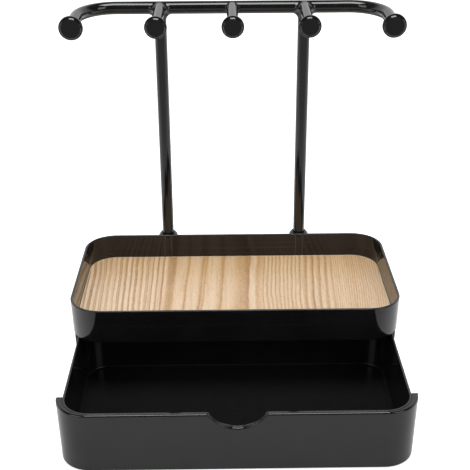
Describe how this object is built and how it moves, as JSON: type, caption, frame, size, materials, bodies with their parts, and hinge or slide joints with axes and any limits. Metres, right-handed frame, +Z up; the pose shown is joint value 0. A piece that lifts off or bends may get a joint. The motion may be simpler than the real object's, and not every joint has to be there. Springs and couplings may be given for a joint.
{
  "type": "jewelry stand with drawer",
  "caption": "Gloss black jewelry stand: rounded casing with a sunken wood-look tray, a drawer with a finger notch, and a raised bar on posts with forward pegs ending in round caps.",
  "frame": {"origin": "centre of the base plate's flat underside, level with the lower edge of the casing and 1.2 mm above the feet's undersides", "axes": "+Z up along the posts, +X to the right seen from the drawer side, the drawer opens towards -Y"},
  "size_m": [0.255, 0.2381, 0.2741],
  "materials": {
    "gloss_black": "gloss",
    "satin_black": "satin",
    "ash_panel": "satin clear lacquer",
    "adhesive": "matte",
    "rubber": "matte",
    "steel": "zinc plated"
  },
  "bodies": {
    "stand": {"casing": "gloss_black", "base_plate": "satin_black", "panel_adhesive": "adhesive", "wood_panel": "ash_panel", "stop_bumper_left": "rubber", "stop_bumper_right": "rubber", "hanger_frame": "gloss_black", "post_screws": "steel", "post_washers": "steel", "foot_front_left": "rubber", "foot_rear_left": "rubber", "foot_front_right": "rubber", "foot_rear_right": "rubber", "cap_outer_left": "gloss_black", "cap_left": "gloss_black", "cap_centre": "gloss_black", "cap_right": "gloss_black", "cap_outer_right": "gloss_black"},
    "drawer": {"drawer_tub": "gloss_black", "drawer_front": "gloss_black"}
  },
  "joints": [
    {"name": "drawer_slide", "type": "slide", "parent": "stand", "child": "drawer", "axis": [0, -1, 0], "range_m": [-0.0915, 0.0085]}
  ]
}
